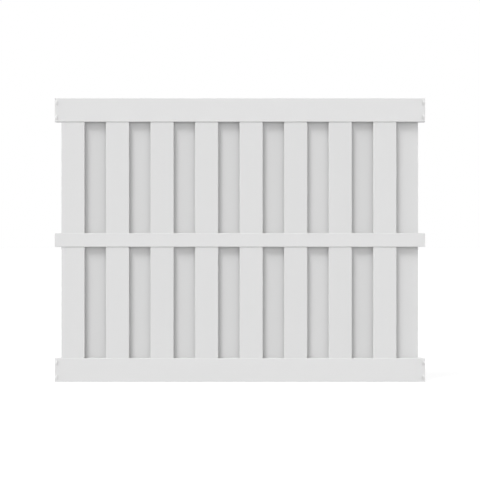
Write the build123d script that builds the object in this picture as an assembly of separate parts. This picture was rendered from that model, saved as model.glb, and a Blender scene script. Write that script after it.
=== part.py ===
from build123d import *
import os

# Shadowbox fence panel: extruded hollow vinyl, three rails and two staggered rows of pickets.
# Millimetres. X runs along the rails, -Y is the front and Z is up.
# The origin is the middle of the bottom rail's underside.

# Overall size
panel_length = 2388.0
panel_height = 1828.8

# Rails
rail_depth = 50.8
rail_wall = 2.4
deep_rail_height = 152.4
deep_rail_corner = 6.0
mid_rail_height = 88.9
mid_rail_corner = 3.0
mid_rail_centre_height = 914.4

# Pickets
picket_count = 16
picket_end_margin = 41.45
picket_width = 149.6
picket_thickness = 22.2
picket_wall = 1.4
picket_corner = 2.0
picket_ribs = 2
picket_rib_thickness = 1.1

# Fits
row_gap = 0.5
slot_clearance = 0.4
expansion_gap = 12.0

# Lock tabs, punched outwards near the rail ends
tab_rise = 3.6
tab_radius = 16.5
tab_edge_from_end = 18.5
tab_from_rail_edge = 30.0

# Stiffener inside the bottom rail
stiffener_height = 25.4
stiffener_wall = 1.6
stiffener_corner = 1.0
stiffener_side_clearance = 0.3
stiffener_set_back = 30.0

# Drain holes in the underside of the bottom rail
drain_count = 4
drain_from_end = 330.0
drain_diameter = 6.4

# Places that follow from the sizes above
picket_spacing = (panel_length - 2 * picket_end_margin - picket_width) / (picket_count - 1)
top_rail_base = panel_height - deep_rail_height
mid_rail_base = mid_rail_centre_height - mid_rail_height / 2
picket_foot = rail_wall + stiffener_height
picket_head = panel_height - rail_wall - expansion_gap
row_offset = (row_gap + picket_thickness) / 2


def picket_places():
    """Each picket's name, its centre along the rails and its row's centre in depth."""
    first = -picket_spacing * (picket_count - 1) / 2
    places = []
    for number in range(picket_count):
        row, side = ("front", -1) if number % 2 == 0 else ("back", 1)
        name = f"{row}_picket_{number // 2 + 1}"
        places.append((name, first + number * picket_spacing, side * row_offset))
    return places


def hollow_section(width, height, wall, corner):
    """A tube's section: rounded outside, and inside too where the corner is large for the wall."""
    inner_size = (width - 2 * wall, height - 2 * wall)
    rounded_inside = corner > 2 * wall
    inner = RectangleRounded(*inner_size, corner - wall) if rounded_inside else Rectangle(*inner_size)
    return RectangleRounded(width, height, corner) - inner


def rail_tube(height, corner, base):
    """A rail's extrusion from end to end, standing on its base height."""
    section = Plane.YZ * hollow_section(rail_depth, height, rail_wall, corner)
    return Pos(0, 0, base + height / 2) * extrude(section, panel_length / 2, both=True)


def picket_slots(low, high):
    """The routed slots that the pickets pass through, between two heights."""
    outline = Rectangle(picket_width + 2 * slot_clearance, picket_thickness + 2 * slot_clearance)
    slot = extrude(outline, high - low)
    return [Pos(x, y, low) * slot for _, x, y in picket_places()]


def lock_tab(x_end, y_side, height):
    """One tab's half-moon shell and the hollow behind it, for a rail end and a face.

    The wall is sheared along an upright edge and pushed out on the side of the rail end,
    so the bulge is half of a shallow dome that falls away towards that end.
    """
    dome_radius = (tab_radius**2 + tab_rise**2) / (2 * tab_rise)
    face = y_side * rail_depth / 2
    dome_centre = face - y_side * (dome_radius - tab_rise)
    edge = x_end * (panel_length / 2 - tab_edge_from_end)
    middle = face + y_side * (tab_rise - rail_wall) / 2
    half_block = Box(tab_radius, rail_wall + tab_rise, 3 * tab_radius)
    half_block = Pos(edge + x_end * tab_radius / 2, middle, height) * half_block
    shell = half_block & Pos(edge, dome_centre, height) * Sphere(dome_radius)
    hollow = half_block & Pos(edge, dome_centre, height) * Sphere(dome_radius - rail_wall)
    return shell, hollow


def with_lock_tabs(rail, base):
    """Adds the two tabs on each face at each end of a deep rail."""
    for height in (base + tab_from_rail_edge, base + deep_rail_height - tab_from_rail_edge):
        for x_end in (-1, 1):
            for y_side in (-1, 1):
                shell, hollow = lock_tab(x_end, y_side, height)
                rail = rail + shell - hollow
    return rail


def top_rail():
    rail = rail_tube(deep_rail_height, deep_rail_corner, top_rail_base)
    rail = rail - picket_slots(top_rail_base - rail_wall, top_rail_base + deep_rail_corner)
    return with_lock_tabs(rail, top_rail_base)


def mid_rail():
    rail = rail_tube(mid_rail_height, mid_rail_corner, mid_rail_base)
    return rail - picket_slots(mid_rail_base - rail_wall, mid_rail_base + mid_rail_height + rail_wall)


def bottom_rail():
    rail = rail_tube(deep_rail_height, deep_rail_corner, 0)
    rail = rail - picket_slots(deep_rail_height - deep_rail_corner, deep_rail_height + rail_wall)
    drain = Cylinder(drain_diameter / 2, 4 * rail_wall)
    between_drains = (panel_length - 2 * drain_from_end) / (drain_count - 1)
    for number in range(drain_count):
        rail = rail - Pos(drain_from_end - panel_length / 2 + number * between_drains, 0, 0) * drain
    return with_lock_tabs(rail, 0)


def picket():
    """One picket's extrusion from foot to head, with its inner ribs."""
    section = hollow_section(picket_width, picket_thickness, picket_wall, picket_corner)
    cell = picket_width / (picket_ribs + 1)
    for number in range(picket_ribs):
        rib = Rectangle(picket_rib_thickness, picket_thickness - picket_wall)
        section = section + Pos((number + 1) * cell - picket_width / 2, 0) * rib
    return extrude(section, picket_head - picket_foot)


def bottom_rail_stiffener():
    """A channel with its legs down on the flat of the rail's floor and its web under the pickets."""
    width = rail_depth - 2 * max(rail_wall, deep_rail_corner) - 2 * stiffener_side_clearance
    outer = Rectangle(width, stiffener_height)
    hollow = Pos(0, -stiffener_wall) * Rectangle(width - 2 * stiffener_wall, stiffener_height)
    length = panel_length - 2 * stiffener_set_back
    channel = extrude(Plane.YZ * (outer - hollow), length / 2, both=True)
    top_edges = channel.edges().filter_by(Axis.X).group_by(Axis.Z)[-1]
    channel = fillet(top_edges, stiffener_corner)
    return Pos(0, 0, rail_wall + stiffener_height / 2) * channel


def save(shape, name):
    export_step(shape, f"parts/{name}.step")
    print(name, round(shape.volume / 1000), "cm3")


os.makedirs("parts", exist_ok=True)
save(top_rail(), "top_rail")
save(mid_rail(), "mid_rail")
save(bottom_rail(), "bottom_rail")
save(bottom_rail_stiffener(), "bottom_rail_stiffener")
one_picket = picket()
for name, x, y in picket_places():
    save(Pos(x, y, picket_foot) * one_picket, name)
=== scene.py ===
import math
import bmesh
import bpy
import numpy as np
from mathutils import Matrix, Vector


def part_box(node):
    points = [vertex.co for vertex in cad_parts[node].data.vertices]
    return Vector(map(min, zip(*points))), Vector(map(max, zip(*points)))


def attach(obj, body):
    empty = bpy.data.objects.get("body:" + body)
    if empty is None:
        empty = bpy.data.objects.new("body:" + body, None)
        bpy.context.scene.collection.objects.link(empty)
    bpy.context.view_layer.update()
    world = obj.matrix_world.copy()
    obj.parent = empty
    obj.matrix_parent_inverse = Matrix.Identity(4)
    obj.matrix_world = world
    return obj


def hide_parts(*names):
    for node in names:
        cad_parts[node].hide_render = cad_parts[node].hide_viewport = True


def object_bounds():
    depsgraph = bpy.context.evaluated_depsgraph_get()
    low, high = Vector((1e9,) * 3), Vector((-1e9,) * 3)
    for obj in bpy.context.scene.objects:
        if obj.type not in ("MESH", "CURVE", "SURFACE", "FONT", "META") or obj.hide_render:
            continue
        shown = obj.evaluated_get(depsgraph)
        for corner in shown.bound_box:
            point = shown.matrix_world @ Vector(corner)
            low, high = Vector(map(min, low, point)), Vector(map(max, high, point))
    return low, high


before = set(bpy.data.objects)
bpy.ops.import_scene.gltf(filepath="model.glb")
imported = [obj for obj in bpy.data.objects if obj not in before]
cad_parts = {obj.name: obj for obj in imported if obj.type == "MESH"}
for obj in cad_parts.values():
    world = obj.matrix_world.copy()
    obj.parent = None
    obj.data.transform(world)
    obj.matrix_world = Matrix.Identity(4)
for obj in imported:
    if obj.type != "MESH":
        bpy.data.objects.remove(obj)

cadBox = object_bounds()
print("stage 1: frame loaded, nodes:", len(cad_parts))

# Lengths are in metres. X runs along the rails, -Y is the front and Z is up.
meshSettings = {
    "closeness": 1e-7,
    "mergeDistance": 1e-6,
    "sharpAngle": 32.0,
}


def arcPoints(centre, radius, angles):
    # centre plus radius times (cosine, sine) of each angle
    return np.stack([centre[0] + radius * np.cos(angles), centre[1] + radius * np.sin(angles)], axis=-1)


def tubeSection(halfWidth, halfHeight, corner, wall, steps, widthBreaks, heightBreaks):
    # a rounded rectangle and its inner twin, point for point, counter-clockwise from the lower flat.
    # The inner corner's radius is the outer one's less the wall, and sharp where nothing is left
    turn = np.linspace(0, math.pi / 2, steps + 1)[1:-1]
    loops = []
    for radius, inset in ((corner, 0.0), (max(corner - wall, 0.0), wall)):
        flatWidth, flatHeight = halfWidth - inset - radius, halfHeight - inset - radius
        across = np.array([-flatWidth, *widthBreaks, flatWidth])
        up = np.array([-flatHeight, *heightBreaks, flatHeight])
        low, high, side = -halfHeight + inset, halfHeight - inset, halfWidth - inset
        loops.append(np.concatenate([
            np.stack([across, np.full(len(across), low)], axis=-1),
            arcPoints((flatWidth, -flatHeight), radius, turn - math.pi / 2),
            np.stack([np.full(len(up), side), up], axis=-1),
            arcPoints((flatWidth, flatHeight), radius, math.pi / 2 - turn[::-1]),
            np.stack([across[::-1], np.full(len(across), high)], axis=-1),
            arcPoints((-flatWidth, flatHeight), radius, math.pi / 2 + turn),
            np.stack([np.full(len(up), -side), up[::-1]], axis=-1),
            arcPoints((-flatWidth, -flatHeight), radius, -math.pi / 2 - turn[::-1]),
        ]))
    return loops


def walledGrid(outer, inner, keep):
    # quads of two matching point grids, closed round in their second direction: each kept cell gives an
    # outward and an inward face, and a wall joins the grids wherever a kept cell borders one that isn't
    rows, columns = outer.shape[:2]
    index = np.arange(rows * columns).reshape(rows, columns)
    beside = np.roll(index, -1, axis=1)
    a, b, c, d = index[:-1], beside[:-1], beside[1:], index[1:]
    deep = rows * columns
    faces = [np.stack([a, b, c, d], axis=-1)[keep], np.stack([a, d, c, b], axis=-1)[keep] + deep]
    padded = np.zeros((rows + 1, columns), bool)
    padded[1:-1] = keep
    starts, ends = padded[1:] & ~padded[:-1], ~padded[1:] & padded[:-1]
    faces.append(np.stack([beside, index, index + deep, beside + deep], axis=-1)[starts])
    faces.append(np.stack([index, beside, beside + deep, index + deep], axis=-1)[ends])
    before = np.roll(keep, 1, axis=1)
    opens, shuts = keep & ~before, ~keep & before
    faces.append(np.stack([a, d, d + deep, a + deep], axis=-1)[opens])
    faces.append(np.stack([d, a, a + deep, d + deep], axis=-1)[shuts])
    points = np.concatenate([outer.reshape(-1, 3), inner.reshape(-1, 3)])
    return points, np.concatenate(faces)


def boxGrid(low, high):
    # low plus each corner of the unit cube times the box's size, and the box's six faces
    corners = np.array([[x, y, z] for x in (0, 1) for y in (0, 1) for z in (0, 1)], float)
    faces = np.array([[0, 1, 3, 2], [4, 6, 7, 5], [0, 4, 5, 1], [2, 3, 7, 6], [0, 2, 6, 4], [1, 5, 7, 3]])
    return np.array(low) + corners * (np.array(high) - np.array(low)), faces


def joined(parts):
    # several (points, faces) pairs as one: each part's faces count on from the points before them
    counts = np.cumsum([0] + [len(points) for points, _ in parts])
    points = np.concatenate([points for points, _ in parts])
    return points, np.concatenate([faces + start for (_, faces), start in zip(parts, counts)])


def makePiece(name, points, faces, slot, material, replaced, tone=0.0):
    # one object from points and quads: coinciding points merged, flats shaded flat, bends smooth
    mesh = bpy.data.meshes.new(name)
    mesh.from_pydata(points, [], faces.tolist())
    clean = bmesh.new()
    clean.from_mesh(mesh)
    bmesh.ops.remove_doubles(clean, verts=clean.verts, dist=meshSettings["mergeDistance"])
    loose = [v for v in clean.verts if not v.link_faces]
    bmesh.ops.delete(clean, geom=loose, context="VERTS")
    clean.to_mesh(mesh)
    clean.free()
    mesh.shade_smooth()
    mesh.set_sharp_from_angle(angle=math.radians(meshSettings["sharpAngle"]))
    toneLayer = mesh.attributes.new("tone", "FLOAT", "POINT")
    toneLayer.data.foreach_set("value", np.full(len(mesh.vertices), tone, np.float32))
    mesh.materials.append(material)
    piece = bpy.data.objects.new(name, mesh)
    bpy.context.scene.collection.objects.link(piece)
    weighted = piece.modifiers.new("flatFaces", "WEIGHTED_NORMAL")
    weighted.keep_sharp = True
    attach(piece, "root")
    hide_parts(replaced)
    return piece


def newMaterial(name):
    # a material with its nodes, its links and its Principled shader
    material = bpy.data.materials.new(name)
    material.use_nodes = True
    nodes, links = material.node_tree.nodes, material.node_tree.links
    return material, nodes, links, nodes["Principled BSDF"]


def mathNode(nodes, links, operation, *values):
    # one sum on sockets or plain numbers
    node = nodes.new("ShaderNodeMath")
    node.operation = operation
    for position, value in enumerate(values):
        if isinstance(value, (int, float)):
            node.inputs[position].default_value = value
        else:
            links.new(value, node.inputs[position])
    return node.outputs[0]


def noiseNode(nodes, links, vector, stretch, scale, detail):
    # noise of the vector times the stretch
    mapping = nodes.new("ShaderNodeMapping")
    mapping.inputs["Scale"].default_value = stretch
    links.new(vector, mapping.inputs["Vector"])
    noise = nodes.new("ShaderNodeTexNoise")
    noise.inputs["Scale"].default_value = scale
    noise.inputs["Detail"].default_value = detail
    links.new(mapping.outputs[0], noise.inputs["Vector"])
    return noise.outputs["Fac"]


def colourSockets(sockets):
    # a Mix node has a set of sockets for each kind of value, and these are the ones for colour
    return [socket for socket in sockets if socket.type == "RGBA"]


extrusionSettings = {
    # each noise's stretch, with the extrusion's own direction first, its scale and its detail
    "lines": ((0.004, 1.0, 1.0), 420.0, 3.0),
    "peel": ((1.0, 1.0, 1.0), 650.0, 2.0),
    "waves": ((0.25, 1.0, 1.0), 7.0, 1.0),
    "cloud": ((0.5, 1.0, 1.0), 9.0, 3.0),
    "cloudInTone": 0.7,
    "cloudInGloss": 0.5,
}


def extrusionGroup():
    # an extrusion's finish. Die lines are noise stretched along it, peel is fine even noise and waves are
    # broad noise: the height is the sum of each times its own height. Mottle and gloss are shares of a
    # cloudy noise and the die lines, and the mottle has the piece's tone added
    group = bpy.data.node_groups.new("extrusionFinish", "ShaderNodeTree")
    group.interface.new_socket(name="Vector", in_out="INPUT", socket_type="NodeSocketVector")
    for name in ("Tone", "Line height", "Peel height", "Wave height"):
        group.interface.new_socket(name=name, in_out="INPUT", socket_type="NodeSocketFloat")
    for name in ("Height", "Mottle", "Gloss"):
        group.interface.new_socket(name=name, in_out="OUTPUT", socket_type="NodeSocketFloat")
    nodes, links = group.nodes, group.links
    source = nodes.new("NodeGroupInput").outputs
    sink = nodes.new("NodeGroupOutput").inputs
    lines, peel, waves, cloud = [noiseNode(nodes, links, source["Vector"], *extrusionSettings[name])
                                 for name in ("lines", "peel", "waves", "cloud")]
    height = 0.0
    for noise, name in ((lines, "Line height"), (peel, "Peel height"), (waves, "Wave height")):
        height = mathNode(nodes, links, "MULTIPLY_ADD", noise, source[name], height)
    links.new(height, sink["Height"])
    shares = []
    for share in (extrusionSettings["cloudInTone"], extrusionSettings["cloudInGloss"]):
        rest = mathNode(nodes, links, "MULTIPLY", lines, 1 - share)
        shares.append(mathNode(nodes, links, "MULTIPLY_ADD", cloud, share, rest))
    mottle, gloss = shares
    links.new(mathNode(nodes, links, "ADD", mottle, source["Tone"]), sink["Mottle"])
    links.new(gloss, sink["Gloss"])
    return group


def finishShader(nodes, links, shader, finish, axisOrder, settings):
    # the extrusion's height goes to the bump, and its gloss to a roughness on both sides of the set one.
    # Object coordinates are put in an order that has the extrusion's own direction first
    place = nodes.new("ShaderNodeTexCoord")
    split = nodes.new("ShaderNodeSeparateXYZ")
    merge = nodes.new("ShaderNodeCombineXYZ")
    links.new(place.outputs["Object"], split.inputs[0])
    for position, axis in enumerate(axisOrder):
        links.new(split.outputs[axis], merge.inputs[position])
    effect = nodes.new("ShaderNodeGroup")
    effect.node_tree = finish
    links.new(merge.outputs[0], effect.inputs["Vector"])
    effect.inputs["Line height"].default_value = settings["lineHeight"]
    effect.inputs["Peel height"].default_value = settings["peelHeight"]
    effect.inputs["Wave height"].default_value = settings["waveHeight"]
    rough = nodes.new("ShaderNodeMapRange")
    rough.inputs["To Min"].default_value = settings["roughness"] - settings["roughnessSpread"]
    rough.inputs["To Max"].default_value = settings["roughness"] + settings["roughnessSpread"]
    links.new(effect.outputs["Gloss"], rough.inputs["Value"])
    links.new(rough.outputs[0], shader.inputs["Roughness"])
    bump = nodes.new("ShaderNodeBump")
    bump.inputs["Distance"].default_value = 1.0
    links.new(effect.outputs["Height"], bump.inputs["Height"])
    links.new(bump.outputs[0], shader.inputs["Normal"])
    return effect


vinylSettings = {
    "colour": {"railVinyl": (0.80, 0.80, 0.80), "picketVinyl": (0.78, 0.78, 0.78)},
    "bounceShare": {"railVinyl": 0.5, "picketVinyl": 0.05},
    # rails run along X and pickets along Z
    "axisOrder": {"railVinyl": (0, 1, 2), "picketVinyl": (2, 0, 1)},
    "tone": 0.012,
    "roughness": 0.50,
    "roughnessSpread": 0.06,
    "ior": 1.53,
    "specular": 0.3,
    "lineHeight": 0.000012,
    "peelHeight": 0.000010,
    "waveHeight": 0.00030,
}


def vinylMaterial(name, finish):
    # satin white vinyl: from one tone to another by the extrusion's mottle
    material, nodes, links, shader = newMaterial(name)
    effect = finishShader(nodes, links, shader, finish, vinylSettings["axisOrder"][name], vinylSettings)
    tone = nodes.new("ShaderNodeAttribute")
    tone.attribute_name = "tone"
    links.new(tone.outputs["Fac"], effect.inputs["Tone"])
    shade = nodes.new("ShaderNodeMix")
    shade.data_type = "RGBA"
    links.new(effect.outputs["Mottle"], shade.inputs["Factor"])
    colour, spread = vinylSettings["colour"][name], vinylSettings["tone"]
    for socket, change in zip(colourSockets(shade.inputs), (1 - spread, 1 + spread)):
        socket.default_value = (*[min(channel * change, 1.0) for channel in colour], 1.0)
    # light that goes from piece to piece meets a darker colour, so the bays keep their shade
    path = nodes.new("ShaderNodeLightPath")
    between = nodes.new("ShaderNodeMix")
    between.data_type = "RGBA"
    links.new(path.outputs["Is Diffuse Ray"], between.inputs["Factor"])
    direct, bounced = colourSockets(between.inputs)
    links.new(colourSockets(shade.outputs)[0], direct)
    share = vinylSettings["bounceShare"][name]
    bounced.default_value = (*[channel * share for channel in colour], 1.0)
    links.new(colourSockets(between.outputs)[0], shader.inputs["Base Color"])
    shader.inputs["IOR"].default_value = vinylSettings["ior"]
    shader.inputs["Specular IOR Level"].default_value = vinylSettings["specular"]
    return material


aluminiumSettings = {
    "colour": (0.80, 0.81, 0.82),
    "darkest": 0.86,
    "axisOrder": (0, 1, 2),
    "roughness": 0.38,
    "roughnessSpread": 0.08,
    "lineHeight": 0.00002,
    "peelHeight": 0.00001,
    "waveHeight": 0.0002,
}


def aluminiumMaterial(finish):
    # mill-finish aluminium: the mottle runs from the darkest share of the colour to all of it
    material, nodes, links, shader = newMaterial("millAluminium")
    effect = finishShader(nodes, links, shader, finish, aluminiumSettings["axisOrder"], aluminiumSettings)
    shade = nodes.new("ShaderNodeValToRGB")
    colour = aluminiumSettings["colour"]
    shade.color_ramp.elements[0].color = (*[aluminiumSettings["darkest"] * c for c in colour], 1.0)
    shade.color_ramp.elements[1].color = (*colour, 1.0)
    links.new(effect.outputs["Mottle"], shade.inputs[0])
    links.new(shade.outputs[0], shader.inputs["Base Color"])
    shader.inputs["Metallic"].default_value = 1.0
    return material


railSettings = {
    "wall": 0.0024,
    "corner": 0.0022,
    "cornerSteps": 5,
    "slotClearance": 0.0004,
}
tabSettings = {
    "radius": 0.0165,
    "edgeFromEnd": 0.0185,
    "fromRailEdge": 0.030,
    "columns": 14,
    "rows": 32,
    "edgeSoftness": 0.7,
    "slit": 0.0012,
}
drainSettings = {
    "count": 4,
    "fromEnd": 0.330,
    "diameter": 0.0064,
    "lines": 6,
}


def picketBoxes():
    # low and high corners of every picket, as an array of (picket, corner, axis)
    names = [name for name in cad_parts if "_picket_" in name]
    return np.array([[tuple(corner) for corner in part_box(name)] for name in names])


def slotCells(cellX, cellY, pickets, clearance):
    # the cells that lie inside some picket's outline grown by the clearance
    boxes = pickets[:, :, :, None, None]
    inside = ((cellX > boxes[:, 0, 0] - clearance) & (cellX < boxes[:, 1, 0] + clearance)
              & (cellY > boxes[:, 0, 1] - clearance) & (cellY < boxes[:, 1, 1] + clearance))
    return inside.any(axis=0)


def tabLift(x, z, edges, middles):
    # how far the wall is pushed out, from 0 to 1: one less the squared distance from the sheared edge's
    # middle over the squared radius, to the power of the softness
    lift = np.zeros(np.broadcast(x, z).shape)
    for edge in edges:
        for middle in middles:
            share = 1 - ((x - edge) ** 2 + (z - middle) ** 2) / tabSettings["radius"] ** 2
            lift = np.maximum(lift, np.clip(share, 0, None) ** tabSettings["edgeSoftness"])
    return lift


def roundedDrains(x, y, onWall, drains, radius):
    # the square of points round each drain is drawn in to a circle: its offsets, times the radius over
    # their own length
    nearest = drains[np.abs(np.subtract.outer(x, drains)).argmin(axis=-1)]
    aside = x - nearest
    closeness = meshSettings["closeness"]
    onSquare = onWall & np.isclose(np.maximum(np.abs(aside), np.abs(y)), radius, atol=closeness)
    draw = np.where(onSquare, radius / np.maximum(np.hypot(aside, y), closeness), 1.0)
    return nearest + aside * draw, y * draw


def makeRail(node, material, slotSides, hasTabs=False, hasDrains=False):
    # a tube's section carried along X, with lines of points wherever a slot, tab or drain begins or ends.
    # Cells inside slots and drains are left out, and the tabs' points are pushed out of the wall
    low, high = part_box(node)
    depthLow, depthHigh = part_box("mid_rail")  # the rail without tabs gives the tube's own depth
    halfDepth = (depthHigh.y - depthLow.y) / 2
    halfHeight, middle = (high.z - low.z) / 2, (high.z + low.z) / 2
    corner, clearance = railSettings["corner"], railSettings["slotClearance"]
    closeness = meshSettings["closeness"]
    pickets = picketBoxes()
    slotEdge = np.abs(pickets[:, :, 1]).max() + clearance
    overlap = clearance - np.abs(pickets[:, :, 1]).min()

    widthBreaks, heightBreaks = [-slotEdge, -overlap, overlap, slotEdge], []
    xLines = [[low.x, high.x], pickets[:, 0, 0] - clearance, pickets[:, 1, 0] + clearance]
    if hasDrains:
        drainRadius, drainFromEnd = drainSettings["diameter"] / 2, drainSettings["fromEnd"]
        drains = np.linspace(low.x + drainFromEnd, high.x - drainFromEnd, drainSettings["count"])
        spread = np.linspace(-drainRadius, drainRadius, drainSettings["lines"])
        widthBreaks = np.sort(np.concatenate([widthBreaks, spread]))
        xLines.append(np.add.outer(drains, spread).ravel())
    if hasTabs:
        tabRadius, edgeFromEnd = tabSettings["radius"], tabSettings["edgeFromEnd"]
        offset = halfHeight - tabSettings["fromRailEdge"]
        tabMiddles = [-offset, offset]
        reach = np.linspace(-tabRadius, tabRadius, tabSettings["rows"] + 1)
        heightBreaks = np.concatenate([reach - offset, reach + offset])
        edges = [low.x + edgeFromEnd, high.x - edgeFromEnd]
        away = np.linspace(0, tabRadius, tabSettings["columns"] + 1)
        # each sheared edge gets two lines: one on the flat wall and one on the raised side
        xLines.extend([edges, edges[0] - away, edges[1] + away])
    xLines = np.sort(np.concatenate(xLines))

    loops = tubeSection(halfDepth, halfHeight, corner, railSettings["wall"], railSettings["cornerSteps"],
                        widthBreaks, heightBreaks)
    grids = []
    for loop in loops:
        x = np.broadcast_to(xLines[:, None], (len(xLines), len(loop)))
        y = np.broadcast_to(loop[None, :, 0], x.shape)
        z = np.broadcast_to(loop[None, :, 1], x.shape)
        if hasTabs:
            lifted = (xLines < edges[0] + closeness) | (xLines > edges[1] - closeness)
            lifted[np.flatnonzero(np.isclose(xLines, edges[0]))[-1]] = False
            lifted[np.flatnonzero(np.isclose(xLines, edges[1]))[0]] = False
            onSide = np.abs(y) > np.abs(loop[:, 0]).max() - closeness
            rise = (high.y - low.y) / 2 - halfDepth
            lift = tabLift(x, z, edges, tabMiddles) * lifted[:, None] * onSide
            y = y + np.sign(y) * lift * rise
            # what is bent up draws back towards the rail's end and leaves a slit beside it
            x = x + np.sign(x) * lift * tabSettings["slit"]
        if hasDrains:
            onFloor = z < loop[:, 1].min() + closeness
            x, y = roundedDrains(x, y, onFloor, drains, drainRadius)
        grids.append(np.stack([x, y, z + middle], axis=-1))

    outline = (loops[0] + np.roll(loops[0], -1, axis=0)) / 2
    cellX, cellY, cellZ = (xLines[1:] + xLines[:-1])[:, None] / 2, outline[None, :, 0], outline[None, :, 1]
    keep = np.ones((len(xLines) - 1, len(outline)), bool)
    for side in slotSides:
        onWall = side * cellZ > halfHeight - corner
        keep &= ~(slotCells(cellX, cellY, pickets, clearance) & onWall)
    if hasTabs:
        sheared = np.isclose(xLines[1:], xLines[:-1])[:, None]
        onSide = np.isclose(np.abs(cellY), halfDepth)
        alongEdge = np.any([np.abs(cellZ - centre) < tabRadius for centre in tabMiddles], axis=0)
        keep &= ~(sheared & onSide & alongEdge)
    if hasDrains:
        fromDrain = np.abs(cellX - drains).min(axis=1)[:, None]
        keep &= ~((fromDrain < drainRadius) & (np.abs(cellY) < drainRadius) & (cellZ < corner - halfHeight))
    return makePiece(node + "_vinyl", *walledGrid(*grids, keep), "rail_vinyl", material, node)


picketSettings = {
    "wall": 0.0014,
    "corner": 0.002,
    "cornerSteps": 4,
    "ribs": 2,
    "ribThickness": 0.0011,
    "toneSpread": 0.5,
    "seed": 11,
}


def makePicket(node, material, tone):
    # a tube's section carried up from foot to head, with ribs that divide its hollow evenly
    low, high = (np.array(corner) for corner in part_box(node))
    half, centre = (high - low) / 2, (high + low) / 2
    wall, ribs = picketSettings["wall"], picketSettings["ribs"]
    corner, cornerSteps = picketSettings["corner"], picketSettings["cornerSteps"]
    loops = tubeSection(half[0], half[1], corner, wall, cornerSteps, [], [])
    levels = np.array([low[2], high[2]])
    grids = []
    for loop in loops:
        shape = (len(levels), len(loop))
        grids.append(np.stack([np.broadcast_to(loop[:, 0] + centre[0], shape),
                               np.broadcast_to(loop[:, 1] + centre[1], shape),
                               np.broadcast_to(levels[:, None], shape)], axis=-1))
    parts = [walledGrid(*grids, np.ones((len(levels) - 1, len(loops[0])), bool))]
    halfRib = picketSettings["ribThickness"] / 2
    for x in np.linspace(low[0], high[0], ribs + 2)[1:-1]:
        parts.append(boxGrid((x - halfRib, low[1] + wall, low[2]), (x + halfRib, high[1] - wall, high[2])))
    return makePiece(node + "_vinyl", *joined(parts), "picket_vinyl", material, node, tone)


floorSettings = {
    "size": 200.0,
    "bounce": 0.55,
    "shown": 0.25,
    "glow": 0.86,
}


def makeFloor():
    # a pale sheet. The camera and reflections see a glow plus a little diffuse, which takes the shadow,
    # and every other ray meets an even light
    half = floorSettings["size"] / 2
    mesh = bpy.data.meshes.new("studioFloor")
    corners = [(-half, -half, 0), (half, -half, 0), (half, half, 0), (-half, half, 0)]
    mesh.from_pydata(corners, [], [(0, 1, 2, 3)])
    floor = bpy.data.objects.new("studioFloor", mesh)
    bpy.context.scene.collection.objects.link(floor)
    material, nodes, links, shader = newMaterial("studioFloor")
    nodes.remove(shader)
    output = nodes["Material Output"]
    bounce = nodes.new("ShaderNodeEmission")
    bounce.inputs["Strength"].default_value = floorSettings["bounce"]
    shown = nodes.new("ShaderNodeBsdfDiffuse")
    shown.inputs["Color"].default_value = (*[floorSettings["shown"]] * 3, 1.0)
    glow = nodes.new("ShaderNodeEmission")
    glow.inputs["Strength"].default_value = floorSettings["glow"]
    total = nodes.new("ShaderNodeAddShader")
    links.new(shown.outputs[0], total.inputs[0])
    links.new(glow.outputs[0], total.inputs[1])
    path = nodes.new("ShaderNodeLightPath")
    seen = mathNode(nodes, links, "MAXIMUM", path.outputs["Is Camera Ray"], path.outputs["Is Glossy Ray"])
    pick = nodes.new("ShaderNodeMixShader")
    links.new(seen, pick.inputs[0])
    links.new(bounce.outputs[0], pick.inputs[1])
    links.new(total.outputs[0], pick.inputs[2])
    links.new(pick.outputs[0], output.inputs["Surface"])
    mesh.materials.append(material)


lightSettings = {
    # each soft box of the dome: the way to it, how tightly it gathers and its strength
    "boxes": {
        "overhead": ((0.0, -0.2, 1.0), 40, 0.2),
        "upperRight": ((1.0, -0.2, 0.7), 12, 0.5),
        "left": ((-1.0, -0.05, 0.0), 24, 10.0),
        "right": ((1.0, -0.05, 0.0), 24, 13.5),
        "front": ((0.0, -1.0, 0.2), 2, 1.01),
        "behind": ((0.0, 1.0, 0.0), 6, 3.8),
    },
    "keyPower": 2.26,
    "keyTravel": (1.3, 1.0, -2.5),
    "keyAngle": 20.0,
}


def makeWorld():
    # the dome's strength is the sum, over its soft boxes, of strength times (direction . way) to a power.
    # Where the camera or a reflection sees it, it is plain white
    world = bpy.data.worlds.new("studioDome")
    bpy.context.scene.world = world
    world.use_nodes = True
    nodes, links = world.node_tree.nodes, world.node_tree.links
    background = nodes["Background"]
    background.inputs["Color"].default_value = (1, 1, 1, 1)
    place = nodes.new("ShaderNodeTexCoord")
    total = 0.0
    for way, tightness, strength in lightSettings["boxes"].values():
        facing = nodes.new("ShaderNodeVectorMath")
        facing.operation = "DOT_PRODUCT"
        facing.inputs[1].default_value = np.array(way) / np.linalg.norm(way)
        links.new(place.outputs["Generated"], facing.inputs[0])
        share = mathNode(nodes, links, "MAXIMUM", facing.outputs["Value"], 0.0)
        share = mathNode(nodes, links, "POWER", share, tightness)
        total = mathNode(nodes, links, "MULTIPLY_ADD", share, strength, total)
    path = nodes.new("ShaderNodeLightPath")
    seen = mathNode(nodes, links, "MAXIMUM", path.outputs["Is Camera Ray"], path.outputs["Is Glossy Ray"])
    seen = mathNode(nodes, links, "MAXIMUM", seen, path.outputs["Is Transmission Ray"])
    pick = nodes.new("ShaderNodeMix")
    links.new(seen, pick.inputs["Factor"])
    links.new(total, pick.inputs["A"])
    pick.inputs["B"].default_value = 1.0
    links.new(pick.outputs[0], background.inputs["Strength"])


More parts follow.
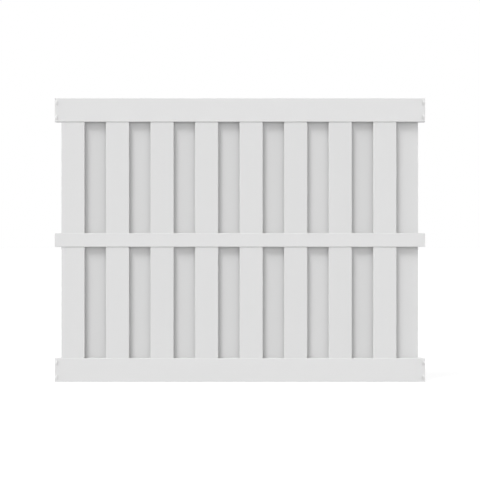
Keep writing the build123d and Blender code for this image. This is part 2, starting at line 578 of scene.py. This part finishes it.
def makeKey():
    # a soft sun from the upper left: tipped by the travel's angle from straight down, then turned to it
    lamp = bpy.data.lights.new("keyLight", "SUN")
    lamp.energy = lightSettings["keyPower"]
    lamp.angle = math.radians(lightSettings["keyAngle"])
    key = bpy.data.objects.new("keyLight", lamp)
    bpy.context.scene.collection.objects.link(key)
    travel = np.array(lightSettings["keyTravel"])
    x, y, z = travel / np.linalg.norm(travel)
    key.rotation_euler = (math.acos(-z), 0, math.atan2(y, x) - math.pi / 2)


cameraSettings = {
    "distance": 7.24,
    "focalPixels": 1123.0,
    "framePixels": 480.0,
    "sensor": 36.0,
}


def makeCamera():
    # level, in front of the panel's middle. The lens is the focal length in pixels over the frame's
    # pixels, times the sensor's width
    low, high = cadBox
    railLow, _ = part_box("mid_rail")
    lens = bpy.data.cameras.new("frontCamera")
    lens.sensor_width = cameraSettings["sensor"]
    lens.lens = cameraSettings["focalPixels"] / cameraSettings["framePixels"] * cameraSettings["sensor"]
    camera = bpy.data.objects.new("frontCamera", lens)
    bpy.context.scene.collection.objects.link(camera)
    camera.location = ((low.x + high.x) / 2, railLow.y - cameraSettings["distance"], (low.z + high.z) / 2)
    camera.rotation_euler = (math.pi / 2, 0, 0)
    bpy.context.scene.camera = camera


finish = extrusionGroup()
railVinyl = vinylMaterial("railVinyl", finish)
picketVinyl = vinylMaterial("picketVinyl", finish)
print("stage 2: materials made")

makeRail("top_rail", railVinyl, (-1,), hasTabs=True)
makeRail("mid_rail", railVinyl, (-1, 1))
makeRail("bottom_rail", railVinyl, (1,), hasTabs=True, hasDrains=True)
print("stage 3: rails made")

draws = np.random.default_rng(picketSettings["seed"])
for name in sorted(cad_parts):
    if "_picket_" in name:
        makePicket(name, picketVinyl, picketSettings["toneSpread"] * draws.uniform(-1, 1))
print("stage 4: pickets made")

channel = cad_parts["bottom_rail_stiffener"]
channel.data.materials.clear()
channel.data.materials.append(aluminiumMaterial(finish))

makeFloor()
makeWorld()
makeKey()
makeCamera()
bpy.context.scene.view_settings.view_transform = "Standard"
print("stage 5: stiffener finished, floor, light and camera made")
